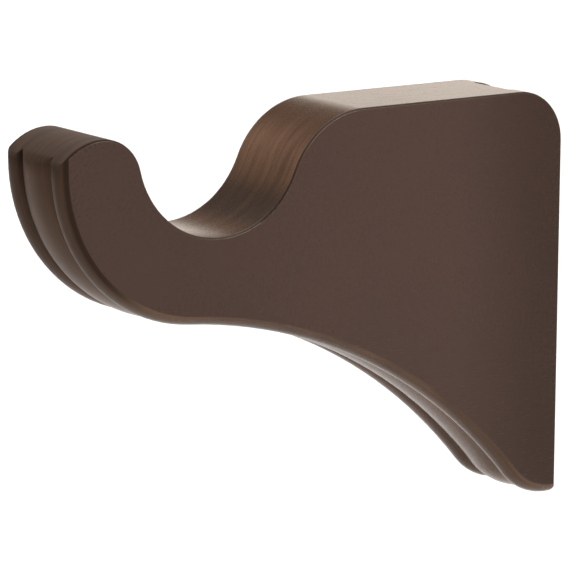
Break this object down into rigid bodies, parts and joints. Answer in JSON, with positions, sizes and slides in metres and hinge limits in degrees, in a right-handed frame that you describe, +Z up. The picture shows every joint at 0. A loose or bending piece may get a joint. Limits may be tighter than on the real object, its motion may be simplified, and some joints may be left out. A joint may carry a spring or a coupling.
{
  "type": "curtain pole bracket",
  "caption": "One-piece wooden wall bracket with an open round cup for a curtain pole and a beaded moulding along its nose and underside.",
  "frame": {"origin": "centre of the flat back, at half the height of the bracket and half its thickness", "axes": "+X across the thickness, along the pole, towards the face seen in the picture; +Y into the wall, so the nose points to -Y; +Z up"},
  "size_m": [0.0286, 0.1652, 0.1169],
  "materials": {
    "lacquered_wood": "dark brown stain under satin lacquer"
  },
  "bodies": {
    "root": {"bracket_body": "lacquered_wood"}
  },
  "joints": []
}
